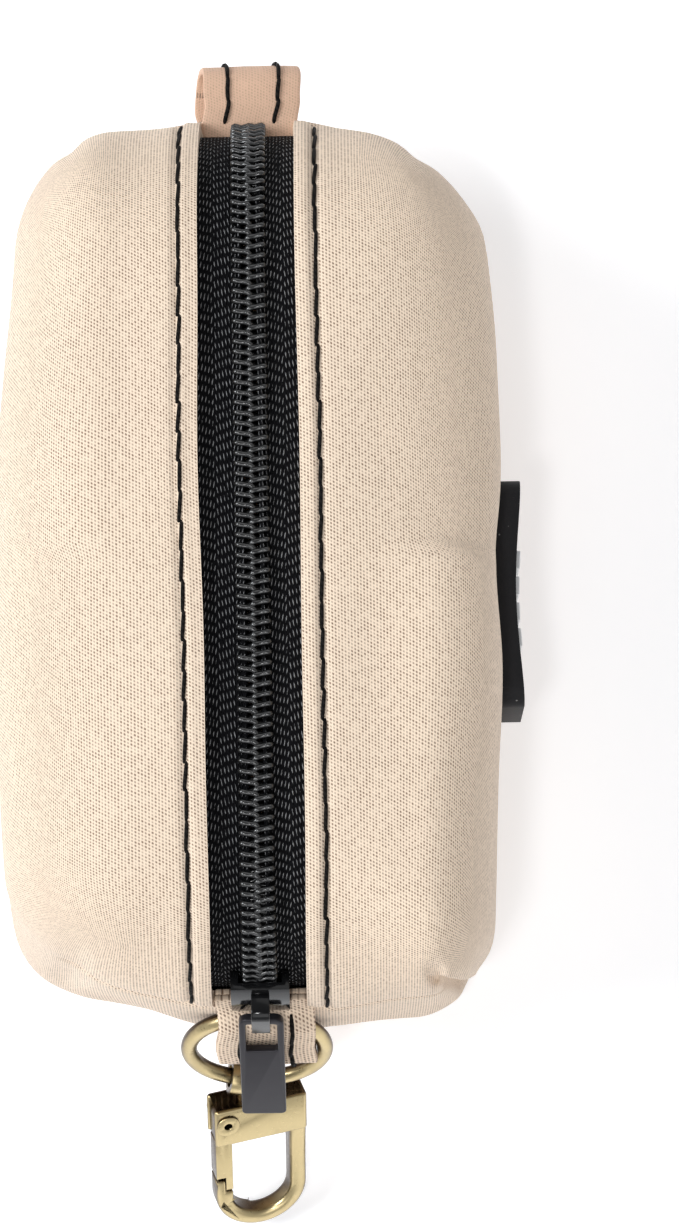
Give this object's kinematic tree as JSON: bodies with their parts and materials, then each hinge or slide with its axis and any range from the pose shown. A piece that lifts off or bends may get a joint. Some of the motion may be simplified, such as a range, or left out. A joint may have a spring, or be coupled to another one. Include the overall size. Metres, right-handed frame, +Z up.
{
  "type": "zipped pouch with swivel clasp",
  "caption": "Small soft box-shaped fabric pouch with a zip over its top and ends, a hanging loop, and a ring with a sprung swivel clasp.",
  "frame": {"origin": "middle of the flat bottom that the pouch rests on", "axes": "+X across the zip to the patch's side, +Y along the zip to the hanging loop's end, +Z up out of the zip"},
  "size_m": [0.0634, 0.1416, 0.0553],
  "materials": {
    "pouch_fabric": "fine plain-weave polyester laminated to thin foam, cream beige, matt",
    "black_thread": "thick black twisted polyester thread",
    "zip_tape": "black herringbone twill tape",
    "zip_coil": "glossy black nylon monofilament",
    "patch_rubber": "soft moulded black rubber, satin",
    "patch_white": "raised white moulded bars",
    "antique_brass": "antique brass plating, brushed high spots and dark oxide in the hollows",
    "spring_steel": "bare spring steel",
    "slider_black": "black enamel",
    "pull_gunmetal": "dark gunmetal, satin, lighter along worn edges"
  },
  "bodies": {
    "pouch": {"body_wrap": "pouch_fabric", "near_seam_thread": "black_thread", "far_seam_thread": "black_thread", "far_loop": "pouch_fabric", "far_loop_stitching": "black_thread", "ring_tab": "pouch_fabric", "ring_tab_stitching": "black_thread", "side_patch": "patch_rubber", "patch_bars": "patch_white", "patch_stitching": "black_thread", "zip_tape_left": "zip_tape", "zip_coil_left": "zip_coil", "zip_cord_left": "zip_tape", "topstitch_left": "black_thread", "zip_tape_right": "zip_tape", "zip_coil_right": "zip_coil", "zip_cord_right": "zip_tape", "topstitch_right": "black_thread"},
    "slider": {"slider_body": "slider_black", "slider_bail": "slider_black"},
    "pull": {"pull_tab": "pull_gunmetal"},
    "ring": {"o_ring": "antique_brass"},
    "swivel": {"swivel_eye": "antique_brass"},
    "clasp": {"clasp_body": "antique_brass", "gate_pin": "antique_brass", "gate_spring": "spring_steel"},
    "gate": {"clasp_gate": "antique_brass"}
  },
  "joints": [
    {"name": "slider_travel", "type": "hinge", "parent": "pouch", "child": "slider", "pos_m": [0, -0.038, 0.039], "axis": [-1, 0, 0], "range_deg": [0, 76], "deforming": ["zip_tape_left", "zip_tape_right", "zip_coil_left", "zip_coil_right", "zip_cord_left", "zip_cord_right"]},
    {"name": "pull_hinge", "type": "hinge", "parent": "slider", "child": "pull", "pos_m": [0, -0.056, 0.04122], "axis": [-1, 0, 0], "range_deg": [0, 150]},
    {"name": "ring_swing", "type": "hinge", "parent": "pouch", "child": "ring", "pos_m": [-0.00075, -0.05527, 0.03539], "axis": [1, 0, 0], "range_deg": [-9, 4]},
    {"name": "eye_swing", "type": "hinge", "parent": "ring", "child": "swivel", "pos_m": [-0.0028, -0.06174, 0.02038], "axis": [0.969, -0.098, -0.227], "range_deg": [-25, 15]},
    {"name": "clasp_swivel", "type": "hinge", "parent": "swivel", "child": "clasp", "pos_m": [-0.0028, -0.06174, 0.02038], "axis": [0.005, 0.6822, 0.7312], "continuous": true},
    {"name": "gate_hinge", "type": "hinge", "parent": "clasp", "child": "gate", "pos_m": [-0.00522, -0.06615, 0.01672], "axis": [0.291, -0.701, 0.651], "range_deg": [0, 20], "stiffness_Nm_per_rad": 0.004, "deforming": ["gate_spring"]}
  ]
}
